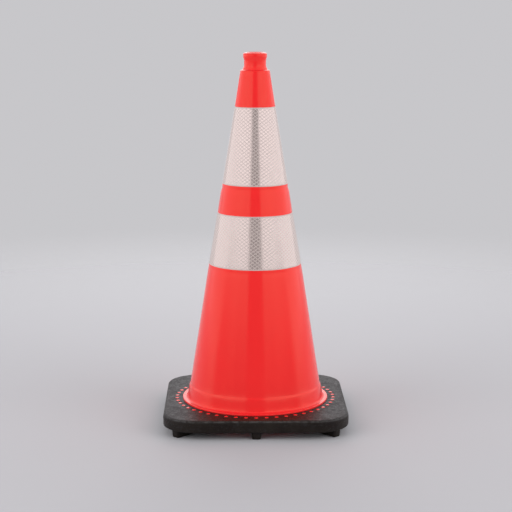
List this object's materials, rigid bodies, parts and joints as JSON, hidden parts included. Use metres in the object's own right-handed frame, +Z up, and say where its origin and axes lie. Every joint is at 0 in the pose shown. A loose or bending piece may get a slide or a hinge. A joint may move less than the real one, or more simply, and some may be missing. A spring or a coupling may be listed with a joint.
{
  "type": "traffic cone",
  "caption": "Orange road cone with an open tip and flared skirt, moulded through a square black ballast base on radial feet, with a wide and a narrow white reflective collar.",
  "frame": {"origin": "centre of the footprint, on the ground plane under the feet", "axes": "+Z up along the cone's axis towards the open tip, -Y towards the front side of the square base, +X to the right of it"},
  "size_m": [0.352, 0.352, 0.7112],
  "materials": {
    "orange_pvc": "glossy flexible PVC, moulded in colour",
    "black_ballast": "satin recycled PVC with faint mottling",
    "reflective_face": "glossy prismatic film with a fine lattice of seal lines",
    "white_backing": "matt white film with adhesive on its inner side"
  },
  "bodies": {
    "root": {"base": "black_ballast", "base_feet": "black_ballast", "cone_body": "orange_pvc", "upper_collar_face": "reflective_face", "upper_collar_backing": "white_backing", "lower_collar_face": "reflective_face", "lower_collar_backing": "white_backing"}
  },
  "joints": []
}
